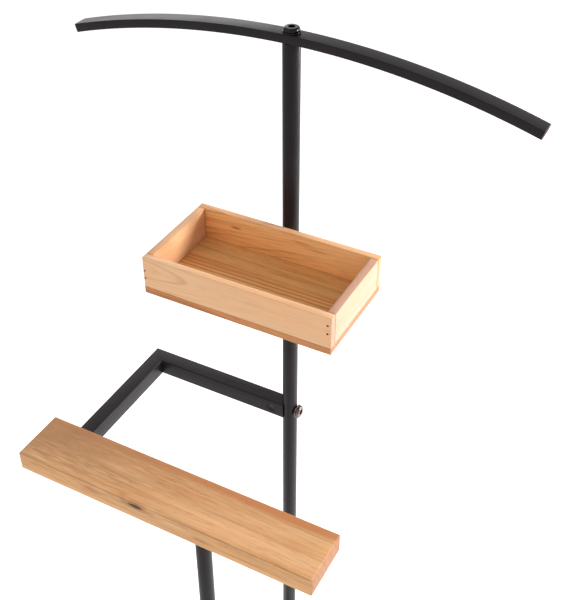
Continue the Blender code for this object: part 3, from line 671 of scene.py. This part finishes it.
def button_head(diameter, height, fit, seat, turn, length):
    """A domed socket-head bolt. seat is the middle of the head's underside, and turn faces it."""
    crown, socket, shank = fit
    rim = height * 0.26
    radius = diameter / 2
    profile = [(0, -length), (shank / 2 - 0.0005, -length), (shank / 2, -length + 0.0005),
               (shank / 2, 0), (radius - 0.0003, 0), (radius, 0.0003)]
    for step in range(13):
        angle = math.pi / 2 * step / 12
        profile.append((crown / 2 + (radius - crown / 2) * math.cos(angle),
                        rim + (height - rim) * math.sin(angle)))
    profile += [(crown / 2 - 0.0004, height), (0, height)]
    bm = turned(profile, 72, seat, turn)
    top = seat + turn @ Vector((0, 0, height))
    mouth = turned([(0, -0.0004), (socket * 0.52, -0.0004), (socket * 0.66, 0.0006),
                    (0, 0.0006)], 48, top, turn)
    return carved(bm, hexagon(socket, height * SOCKET_DEPTH, top, turn), mouth)


def washer(outside, thickness, seat, turn):
    """A flat washer with its edges rolled. seat is the middle of its underside."""
    out, ins, edge = outside / 2, WASHER_BORE / 2, thickness * 0.3
    profile = [(ins, edge)]
    profile += arc((ins + edge, thickness - edge), edge, 180, 90, 3)
    profile += arc((out - edge, thickness - edge), edge, 90, 0, 4)
    profile += arc((out - edge, edge), edge, 0, -90, 4)
    profile += arc((ins + edge, edge), edge, 270, 180, 3)
    return turned(profile, 72, seat, turn)


def facing(direction):
    """The turn that brings +Z to a direction."""
    return Vector((0, 0, 1)).rotation_difference(Vector(direction)).to_matrix()


def screw_heads(group, nodes, axis, side):
    """A group of like screws, their heads on one side (1 or -1) along an axis."""
    shapes = []
    for node in nodes:
        low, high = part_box(node)
        direction = Vector((0, 0, 0))
        direction[axis] = side
        seat = seat_of(node, axis, side) - direction * SCREW_HEAD
        shapes.append(button_head(high.x - low.x, SCREW_HEAD, SCREW, seat, facing(direction),
                                  high[axis] - low[axis] - SCREW_HEAD))
    plated = steel(f"plated_{group}_screws", colours().bright_steel, 0.24, seat, axis, 0.3)
    place_piece(group + "_screw_heads", merged(*shapes), STAND, nodes, plated)


def weld_run(points, bead):
    """A weld round a closed line: a row of overlapping ripples with a round section."""
    steps = []
    for start, end in zip(points, points[1:] + points[:1]):
        count = max(2, int((end - start).length / (bead * 0.22)))
        steps += [start.lerp(end, k / count) for k in range(count)]
    bm = bmesh.new()
    rings = []
    for index, centre in enumerate(steps):
        ahead, behind = steps[(index + 1) % len(steps)], steps[index - 1]
        turn = facing((ahead - behind).normalized()).to_4x4()
        ripple = bead / 2 * (0.86 + 0.14 * math.sin(index * math.pi / 2))
        verts = bmesh.ops.create_circle(bm, cap_ends=False, segments=10, radius=ripple,
                                        matrix=Matrix.Translation(centre) @ turn)["verts"]
        rings.append(list({edge for vert in verts for edge in vert.link_edges}))
    for ring, following in zip(rings, rings[1:] + rings[:1]):
        bmesh.ops.bridge_loops(bm, edges=ring + following)
    bmesh.ops.recalc_face_normals(bm, faces=bm.faces)
    return bm


# ---------------------------------------------------------------- operators

class StandOperator:
    """What the stand's operators share."""

    bl_options = {"REGISTER", "UNDO"}

    def execute(self, context):
        self.make()
        return {"FINISHED"}


class OBJECT_OT_stand_posts(StandOperator, bpy.types.Operator):
    """Make the two round posts"""
    bl_idname = "object.stand_posts"
    bl_label = "Posts"

    def make(self):
        for node in ("main_post", "front_post"):
            low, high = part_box(node)
            radius = (high.x - low.x) / 2
            bore = radius - sizes().post_wall
            length = high.z - low.z
            profile = [(bore, RIM)]
            profile += arc((bore + RIM, RIM), RIM, 180, 270, 2)
            profile += arc((radius - RIM, RIM), RIM, 270, 360, 3)
            profile += arc((radius - RIM, length - RIM), RIM, 0, 90, 3)
            profile += arc((bore + RIM, length - RIM), RIM, 90, 180, 2)
            profile.append((bore, RIM))
            bm = turned(profile, sizes().round_sides, seat_of(node, Z))
            coated(node + "_tube", bm, [node])


class OBJECT_OT_stand_hanger(StandOperator, bpy.types.Operator):
    """Make the arched hanger bar with its bolt and washer"""
    bl_idname = "object.stand_hanger"
    bl_label = "Hanger Bar"

    def make(self):
        low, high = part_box("hanger_bar")
        width = high.y - low.y
        middle_y = (low.y + high.y) / 2
        half_span = (high.x - low.x) / 2
        drop = high.z - low.z
        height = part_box("bar_washer")[0].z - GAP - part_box("main_post")[1].z - GAP
        # Outside radius of the arch, from its span and the drop of its ends' lower corners
        outer = self.outside_radius(half_span, drop, height)
        half_angle = math.asin(half_span / outer)
        wall, corner = sizes().bar_wall, sizes().bar_corner
        bm = bmesh.new()
        face = rounded_face(bm, width, height, corner, TUBE_STEPS)[0]
        bmesh.ops.recalc_face_normals(bm, faces=bm.faces)
        bmesh.ops.inset_region(bm, faces=[face], thickness=wall, use_even_offset=True)
        bmesh.ops.delete(bm, geom=[face], context="FACES_ONLY")
        to_end = (Matrix.Rotation(-half_angle, 4, "Y")
                  @ Matrix.Translation((0, 0, outer - height / 2)) @ ACROSS_X)
        bmesh.ops.transform(bm, matrix=to_end, verts=bm.verts)
        bmesh.ops.spin(bm, geom=bm.verts[:] + bm.edges[:] + bm.faces[:], axis=(0, 1, 0),
                       cent=(0, 0, 0), dvec=(0, 0, 0), angle=2 * half_angle,
                       steps=sizes().arch_steps, use_merge=False, use_duplicate=False)
        bmesh.ops.remove_doubles(bm, verts=bm.verts, dist=MERGE)
        bmesh.ops.recalc_face_normals(bm, faces=bm.faces)
        eased_rims(bm, BAR_RIM, least=1.2)
        bmesh.ops.translate(bm, verts=bm.verts, vec=(0, middle_y, high.z - outer))
        skin = powder_coat("powder_coat_bar", (Vector((0, 0, high.z - outer)), half_angle))
        place_piece("hanger_bar_tube", bm, HANGER, ["hanger_bar"], skin)

        low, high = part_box("bar_washer")
        seat = seat_of("bar_washer", Z)
        dark = steel("blackened_steel_top", colours().dark_steel, 0.20, seat, Z, 0.35)
        up = facing((0, 0, 1))
        bm = washer(high.x - low.x, high.z - low.z, seat, up)
        place_piece("bar_bolt_washer", bm, HANGER, ["bar_washer"], dark)
        seat.z = high.z + GAP
        low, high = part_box("bar_bolt")
        bm = button_head(high.x - low.x, high.z - seat.z, BOLT, seat, up, seat.z - low.z)
        place_piece("bar_bolt_dome", bm, HANGER, ["bar_bolt"], dark)

    @staticmethod
    def outside_radius(half_span, drop, height):
        """The radius for which the arch spans the box and its ends hang down by drop."""
        near, far = half_span * 1.05, half_span * 40
        for _ in range(60):
            radius = (near + far) / 2
            hang = radius - (radius - height) * math.cos(math.asin(half_span / radius))
            if hang > drop:
                near = radius
            else:
                far = radius
        return (near + far) / 2


class OBJECT_OT_stand_tray(StandOperator, bpy.types.Operator):
    """Make the wooden tray's five boards"""
    bl_idname = "object.stand_tray"
    bl_label = "Tray Boards"

    def make(self):
        pale, gold, warm, cream, brown = (
            tuple(getattr(colours(), "tray_" + name))
            for name in ("pale", "golden", "warm", "cream", "brown"))
        red = tinted(brown, (0.62, 0.36, 0.22))
        boards = {
            "tray_front_board": ((X, Z, Y), Timber(
                pale, tinted(pale, (0.80, 0.66, 0.52)), pith=(0.0024, 0.0141), lean=(0.02, -0.12),
                ring=0.0040, figure=0.46, streak=0.34, cloud=0.50, fibre=0.60, pores=0.12,
                waver=0.0007, plain=(-0.050, -0.030, 0.22), seed=3.1, edge=0.14,
                end=tinted(pale, (0.74, 0.49, 0.60)))),
            "tray_back_board": ((X, Z, Y), Timber(
                gold, tinted(gold, (0.62, 0.44, 0.30)), pith=(-0.040, 0.020), lean=(-0.05, 0.12),
                ring=0.0048, figure=0.52, streak=0.95, cloud=0.60, fibre=0.55, pores=0.20,
                waver=0.0026, seed=7.9, edge=0.30, end=tinted(gold, (0.70, 0.56, 0.74)),
                side=(0.88, 0.85, 1.00),
                marks=((-0.0527, 0.0042, -0.0037, 0.0068, 0.0015, shade(gold, 0.22), 0.95),
                       (0.0650, 0.0000, -0.0037, 0.0600, 0.0300, shade(gold, 1.18), 0.60),
                       (0.0159, 0.0092, -0.0037, 0.0140, 0.0016, red, 0.55),
                       (0.0348, 0.0052, -0.0037, 0.0160, 0.0014, red, 0.45)))),
            "tray_left_board": ((Y, Z, X), Timber(
                warm, tinted(warm, (0.78, 0.62, 0.48)), pith=(0.030, 0.010), lean=(0.10, 0.02),
                ring=0.0036, figure=0.30, streak=0.55, cloud=0.40, fibre=0.50, pores=0.12,
                waver=0.0012, seed=12.4, edge=0.30, side=(1.07, 1.10, 1.17))),
            "tray_right_board": ((Y, Z, X), Timber(
                cream, tinted(cream, (0.88, 0.78, 0.62)), pith=(0.040, 0.014), lean=(0.05, 0.02),
                ring=0.0032, figure=0.42, streak=0.60, cloud=0.40, fibre=0.75, pores=0.12,
                waver=0.0009, seed=19.7, edge=0.22)),
            "tray_bottom_board": ((X, Y, Z), Timber(
                brown, tinted(brown, (0.60, 0.42, 0.28)), pith=(-0.14, -0.03), lean=(0.01, 0.01),
                ring=0.0042, figure=0.46, streak=1.10, cloud=0.50, fibre=1.15, pores=0.30,
                waver=0.0014, seed=25.2, edge=0.03, end=tinted(brown, (0.52, 0.44, 0.62)),
                side=(0.86, 0.72, 0.78),
                bands=((0.60, 0.0062, 0.0011, red), (0.70, 0.0018, 0.0013, red),
                       (0.65, -0.0030, 0.0016, red), (0.45, -0.0078, 0.0014, red),
                       (0.40, 0.0125, 0.0008, red), (0.30, 0.0255, 0.0009, red)))),
        }
        for node, (axes, timber) in boards.items():
            low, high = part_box(node)
            if node != "tray_bottom_board":
                low.z -= GAP * 0.9      # the walls are nailed down on the bottom board
            spans = [max(1, round((high[i] - low[i]) / 0.012)) for i in range(3)]
            bm = rounded_block(low, high, sizes().board_ease, 3, spans, sizes().board_waver)
            finish = wood("wood_" + node, (low, high), axes, timber)
            place_piece(node + "_sawn", bm, STAND, [node], finish, 30)


class OBJECT_OT_stand_brads(StandOperator, bpy.types.Operator):
    """Make the brads that hold the tray together, and the screws and spacers behind it"""
    bl_idname = "object.stand_brads"
    bl_label = "Tray Fixings"

    def make(self):
        nodes = sorted(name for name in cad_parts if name.startswith("brad_"))
        shapes = []
        for node in nodes:
            low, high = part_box(node)
            size = high - low
            axis = max(range(3), key=lambda i: size[i])
            outward = -1.0 if axis == Z or node.startswith("brad_front") else 1.0
            direction = Vector((0, 0, 0))
            direction[axis] = outward
            middle = (low + high) / 2
            head = middle + direction * (size[axis] / 2 + BRAD_PROUD)
            head_r = min(size[i] for i in range(3) if i != axis) / 2
            tip = -size[axis]
            profile = [(0, tip), (BRAD_POINT_R, tip + 0.0008), (BRAD_R, tip + 0.0022),
                       (BRAD_R, -0.0009), (head_r, -0.0007), (head_r, -0.00012),
                       (head_r * 0.8, 0.0), (head_r * 0.35, -0.00006), (0, -0.00010)]
            shapes.append(turned(profile, 18, head, facing(direction)))
        rusty = steel("rusty_brads", (0.050, 0.026, 0.017), 0.60, (0, 0, 0), Z, 0.6)
        place_piece("tray_brads", merged(*shapes), STAND, nodes, rusty)

        screw_heads("tray", ["tray_screw_1", "tray_screw_2"], Y, 1)
        repaint(("tray_saddle_upper", "tray_saddle_lower"), plastic())


class OBJECT_OT_stand_arm(StandOperator, bpy.types.Operator):
    """Make the bent arm with its caps, barrel nut, washer and bolt"""
    bl_idname = "object.stand_arm"
    bl_label = "Bent Arm"

    def make(self):
        side_low, side_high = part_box("arm_side_tube")
        front_low, front_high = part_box("arm_front_tube")
        width = front_high.x - front_low.x
        height = side_high.z - side_low.z
        mid_y = (side_low.y + side_high.y) / 2
        mid_z = (side_low.z + side_high.z) / 2
        corner_x = (front_low.x + front_high.x) / 2
        bm = bmesh.new()
        start = rounded_face(bm, width, height, sizes().tube_corner, TUBE_STEPS)
        # The section stands across X, then runs to the mitre and on to the front
        matrix = Matrix.Translation((side_high.x, mid_y, mid_z)) @ ACROSS_X
        bmesh.ops.transform(bm, verts=bm.verts, matrix=matrix)
        mitre, far = extruded(bm, start, (corner_x - side_high.x, 0, 0))
        for vert in mitre:
            vert.co.x -= vert.co.y - mid_y
        end, _ = extruded(bm, far, (0, front_low.y - mid_y, 0))
        for vert in end:
            vert.co.y = front_low.y
        bmesh.ops.remove_doubles(bm, verts=bm.verts, dist=MERGE)
        bmesh.ops.recalc_face_normals(bm, faces=bm.faces)
        nut_low, nut_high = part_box("arm_barrel_nut")
        nut_mid = (nut_low + nut_high) / 2
        nut_d = nut_high.z - nut_low.z
        across = facing((0, -1, 0))
        bore = rod(nut_d / 2 + NUT_PLAY, width, 48, nut_mid, across)
        post_low, post_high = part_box("main_post")
        reach = (post_high.x - post_low.x) / 2 + GAP
        cope = rod(reach, height, 96, Vector((0, mid_y, mid_z)))
        bm = carved(bm, bore, cope)
        coated("arm_bend", bm, ["arm_side_tube", "arm_front_tube"], 32)

        dark = steel("blackened_steel_nut", shade(colours().dark_steel, 1.9), 0.38, nut_mid, Y, 0.4)
        half = (nut_high.y - nut_low.y) / 2
        edge, dish = 0.0006, 0.0008
        one_end = [(nut_d / 2, half - edge), (nut_d / 2 - edge, half), (nut_d * 0.34, half),
                   (nut_d * 0.30, half - dish), (0, half - dish)]
        profile = [(r, -z) for r, z in reversed(one_end)] + one_end
        bm = turned(profile, 48, nut_mid, across)
        place_piece("arm_barrel_nut_turned", bm, STAND, ["arm_barrel_nut"], dark)
        repaint(("arm_end_cap", "arm_front_cap"), plastic())

        low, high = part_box("arm_washer")
        seat = seat_of("arm_washer", X)
        right = facing((1, 0, 0))
        bright = steel("plated_steel_side", colours().bright_steel, 0.26, seat, X, 0.55,
                       BOLT[1])
        bm = washer(high.z - low.z, high.x - low.x, seat, right)
        place_piece("arm_bolt_washer", bm, STAND, ["arm_washer"], bright)
        seat.x = high.x + GAP
        low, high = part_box("arm_bolt")
        bm = button_head(high.z - low.z, high.x - seat.x, BOLT, seat, right, seat.x - low.x)
        place_piece("arm_bolt_dome", bm, STAND, ["arm_bolt"], bright)


class OBJECT_OT_stand_rail(StandOperator, bpy.types.Operator):
    """Make the wooden rail with its plate and screws underneath"""
    bl_idname = "object.stand_rail"
    bl_label = "Rail"

    def make(self):
        low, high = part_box("rail")
        tan = tuple(colours().rail_tan)
        pale, brown = tinted(tan, (1.28, 1.36, 1.55)), tinted(tan, (0.52, 0.44, 0.38))
        orange = tinted(tan, (0.67, 0.44, 0.31))
        timber = Timber(
            tan, tinted(tan, (0.66, 0.50, 0.36)), pith=(-0.095, -0.030), lean=(0.02, 0.03),
            ring=0.0062, figure=0.30, streak=0.85, cloud=0.60, fibre=1.10, pores=0.26,
            waver=0.0020, seed=31.6, edge=0.30, end=tinted(tan, (0.45, 0.33, 0.275)),
            side=(1.12, 1.12, 1.06),
            bands=((0.85, 0.0270, 0.0110, orange),),
            knots=((-0.0235, -0.0295, 0.0073, 0.0088, 0.0027),),
            # The first mark is painted shade: it darkens the rail's left end to stand in for light
            # falling off towards the left.
            marks=((-0.165, 0.0100, 0.011, 0.230, 0.0420, tinted(tan, (0.56, 0.50, 0.44)), 0.85),
                   (-0.143, -0.0178, 0.011, 0.016, 0.0024, brown, 0.70),
                   (-0.112, -0.0200, 0.011, 0.034, 0.0030, brown, 0.40),
                   (-0.062, -0.0280, 0.010, 0.020, 0.0018, pale, 0.60),
                   (-0.076, -0.0295, 0.003, 0.016, 0.0042, orange, 0.70),
                   (-0.004, -0.0285, 0.010, 0.020, 0.0018, pale, 0.70),
                   (0.018, -0.0295, 0.004, 0.016, 0.0026, pale, 0.45),
                   (0.050, -0.0295, -0.001, 0.012, 0.0024, brown, 0.70),
                   (0.030, -0.0295, 0.008, 0.012, 0.0014, brown, 0.40),
                   (0.115, -0.0295, 0.000, 0.030, 0.0028, brown, 0.30),
                   (0.090, -0.0160, 0.011, 0.120, 0.0130, pale, 0.45),
                   (0.085, 0.0040, 0.011, 0.045, 0.0050, pale, 0.35),
                   (-0.060, 0.0020, 0.011, 0.040, 0.0055, pale, 0.25)))
        finish = wood("wood_rail", (low, high), (X, Y, Z), timber)
        bm = rounded_block(low, high, sizes().plank_ease, 5, (24, 5, 2), sizes().board_waver)
        place_piece("rail_plank", bm, STAND, ["rail"], finish, 30)

        low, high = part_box("front_flange")
        bm = bmesh.new()
        faces = rounded_face(bm, high.x - low.x, high.y - low.y, PLATE_CORNER, 8)
        extruded(bm, faces, (0, 0, high.z - low.z))
        bmesh.ops.recalc_face_normals(bm, faces=bm.faces)
        eased_rims(bm, RIM)
        seat = seat_of("front_flange", Z)
        bmesh.ops.translate(bm, verts=bm.verts, vec=seat)
        coated("rail_plate", bm, ["front_flange"])
        post_low, post_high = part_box("front_post")
        radius = (post_high.x - post_low.x) / 2 + sizes().weld_bead * 0.15
        lift = 0.0004
        ring = []
        for step in range(40):
            angle = 2 * math.pi * step / 40
            ring.append(seat + Vector((radius * math.cos(angle), radius * math.sin(angle), -lift)))
        coated("rail_plate_weld", weld_run(ring, sizes().weld_bead), [])

        nodes = ["flange_screw_1", "flange_screw_2", "rail_arm_screw_1", "rail_arm_screw_2"]
        screw_heads("rail", nodes, Z, -1)


class OBJECT_OT_stand_base(StandOperator, bpy.types.Operator):
    """Make the tube base with its caps, feet and bolts"""
    bl_idname = "object.stand_base"
    bl_label = "Base"

    def make(self):
        for node, axis in (("base_spine", Y), ("base_front_tube", X), ("base_rear_tube", X)):
            low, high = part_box(node)
            coated(node + "_steel", tube(low, high, axis, sizes().tube_corner), [node])
        bead = sizes().weld_bead
        low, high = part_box("base_spine")
        inset = sizes().tube_corner
        for name, y in (("rear", high.y), ("front", low.y)):
            points = [Vector((low.x + inset, y, high.z)), Vector((high.x - inset, y, high.z)),
                      Vector((high.x, y, high.z - inset)), Vector((high.x, y, low.z + inset))]
            points += [Vector((high.x - inset, y, low.z)), Vector((low.x + inset, y, low.z)),
                       Vector((low.x, y, low.z + inset)), Vector((low.x, y, high.z - inset))]
            coated(f"base_weld_{name}", weld_run(points, bead * 0.8), [])
        for end in ("front", "rear"):
            for side in ("left", "right"):
                node = f"base_cap_{end}_{side}"
                low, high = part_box(node)
                tube_low, tube_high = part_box(f"base_{end}_tube")
                if side == "left":
                    high = Vector((tube_low.x, high.y, high.z))
                else:
                    low = Vector((tube_high.x, low.y, low.z))
                bm = tube(low, high, X, sizes().tube_corner, CAP_EASE)
                place_piece(node + "_moulded", bm, STAND, [node], plastic())
                node = f"foot_{end}_{side}"
                low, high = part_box(node)
                radius = (high.x - low.x) / 2
                top = tube_low.z - GAP - low.z
                dish, heel, shoulder, stem = 0.0004, 0.0016, 0.0012, 0.0035
                profile = [(0, dish), (radius * 0.55, dish), (radius * 0.62, 0.0)]
                profile += arc((radius - 0.0006 - heel, heel), heel, 270, 360, 6)
                profile += [(radius - 0.0006, 0.0024), (radius - 0.0002, 0.0034)]
                profile += arc((radius - shoulder, top - shoulder), shoulder, 0, 90, 6)
                profile += [(stem, top), (stem, high.z - low.z), (0, high.z - low.z)]
                bm = turned(profile, 64, seat_of(node, Z))
                place_piece(node + "_glide", bm, STAND, [node], plastic())
        down = facing((0, 0, -1))
        for node in ("main_post_foot_bolt", "front_post_foot_bolt"):
            low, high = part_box(node)
            seat = seat_of(node, Z) + Vector((0, 0, FOOT_BOLT_HEAD))
            dark = steel("blackened_" + node, colours().dark_steel, 0.24, seat, Z, 0.4,
                         BOLT[1])
            bm = button_head(high.x - low.x, FOOT_BOLT_HEAD, BOLT, seat, down, high.z - seat.z)
            place_piece(node + "_dome", bm, STAND, [node], dark)
        plugs = ("main_post_top_plug", "main_post_foot_plug", "front_post_foot_plug")
        repaint(plugs, steel("plated_plugs", colours().bright_steel, 0.3, (0, 0, 0), Z, 0.3))


class OBJECT_OT_stand_studio(StandOperator, bpy.types.Operator):
    """Make the floor, the lights and the camera"""
    bl_idname = "object.stand_studio"
    bl_label = "Studio"

    def make(self):
        self.floor()
        self.lights()
        self.camera()

    def floor(self):
        bm = bmesh.new()
        bmesh.ops.create_circle(bm, cap_ends=True, segments=96, radius=FLOOR_RADIUS)
        mesh = bpy.data.meshes.new("studio_floor")
        bm.to_mesh(mesh)
        bm.free()
        skin = Finish("studio_floor_paint", specular=0.3)
        tone = tuple(colours().floor)
        patch = skin.grain(skin.place, (1.3, 1.3, 1.3), detail=3.0)
        skin.colour(skin.ramp(skin.plus(patch, 0.5), [(0.2, shade(tone, 0.985)), (0.8, tone)]))
        skin.roughness(skin.total(0.7, (patch, 0.1)))
        skin.shader.inputs["Emission Color"].default_value = (1.0, 1.0, 1.0, 1.0)
        skin.shader.inputs["Emission Strength"].default_value = FLOOR_GLOW
        mesh.materials.append(skin.material)
        obj = bpy.data.objects.new("studio_floor", mesh)
        bpy.context.scene.collection.objects.link(obj)

    def lights(self):
        world = bpy.data.worlds.new("studio")
        bpy.context.scene.world = world
        world.use_nodes = True
        nodes, links = world.node_tree.nodes, world.node_tree.links
        background = nodes["Background"]
        coordinates = nodes.new("ShaderNodeTexCoord")
        split = nodes.new("ShaderNodeSeparateXYZ")
        links.new(coordinates.outputs["Generated"], split.inputs[0])
        ramp = nodes.new("ShaderNodeValToRGB")
        ramp.color_ramp.interpolation = "EASE"
        bright, dim = ramp.color_ramp.elements
        bright.position, bright.color = 0.30, (1.0, 0.995, 0.99, 1)
        dim.position, dim.color = 0.75, (0.84, 0.84, 0.85, 1)
        links.new(split.outputs["Z"], ramp.inputs[0])
        links.new(ramp.outputs[0], background.inputs["Color"])
        background.inputs["Strength"].default_value = SKY_STRENGTH

        for box in SOFT_BOXES:
            self.soft_box(*box)

    @staticmethod
    def soft_box(name, place, target, size, watts):
        light = bpy.data.lights.new(name, "AREA")
        light.shape = "RECTANGLE"
        light.size, light.size_y = size
        light.energy = watts
        obj = bpy.data.objects.new(name, light)
        obj.location = place
        aim = Vector(target) - Vector(place)
        obj.rotation_euler = aim.to_track_quat("-Z", "Y").to_euler()
        obj.visible_camera = False
        bpy.context.scene.collection.objects.link(obj)

    def camera(self):
        scene = bpy.context.scene
        scene.view_settings.view_transform = "Standard"
        scene.view_settings.look = "None"
        data = bpy.data.cameras.new("camera")
        data.sensor_width = CAMERA_SENSOR
        data.lens = CAMERA_LENS
        camera = bpy.data.objects.new("camera", data)
        scene.collection.objects.link(camera)
        azimuth, elevation = math.radians(CAMERA_AZIMUTH), math.radians(CAMERA_ELEVATION)
        back = Vector((math.sin(azimuth) * math.cos(elevation),
                       -math.cos(azimuth) * math.cos(elevation), math.sin(elevation)))
        camera.location = Vector(CAMERA_TARGET) + back * CAMERA_DISTANCE
        camera.rotation_euler = (-back).to_track_quat("-Z", "Y").to_euler()
        scene.camera = camera


STEPS = (OBJECT_OT_stand_posts, OBJECT_OT_stand_hanger, OBJECT_OT_stand_tray, OBJECT_OT_stand_brads,
         OBJECT_OT_stand_arm, OBJECT_OT_stand_rail, OBJECT_OT_stand_base, OBJECT_OT_stand_studio)


class VIEW3D_PT_stand(bpy.types.Panel):
    """Sidebar panel with the stand's steps, sizes and colours"""
    bl_label = "Valet Stand"
    bl_idname = "VIEW3D_PT_stand"
    bl_space_type = "VIEW_3D"
    bl_region_type = "UI"
    bl_category = "Valet Stand"

    def draw(self, context):
        column = self.layout.column(align=True)
        for step in STEPS:
            column.operator(step.bl_idname)
        for group in (context.scene.stand_sizes, context.scene.stand_colours):
            box = self.layout.box()
            for name in group.bl_rna.properties.keys():
                if name not in ("rna_type", "name"):
                    box.prop(group, name)


CLASSES = (StandSizes, StandColours, *STEPS, VIEW3D_PT_stand)


def register():
    for cls in CLASSES:
        bpy.utils.register_class(cls)
    bpy.types.Scene.stand_sizes = PointerProperty(type=StandSizes)
    bpy.types.Scene.stand_colours = PointerProperty(type=StandColours)


def unregister():
    del bpy.types.Scene.stand_colours
    del bpy.types.Scene.stand_sizes
    for cls in reversed(CLASSES):
        bpy.utils.unregister_class(cls)


def main():
    register()
    for step in STEPS:
        group, name = step.bl_idname.split(".")
        getattr(getattr(bpy.ops, group), name)()


if __name__ == "__main__":
    main()
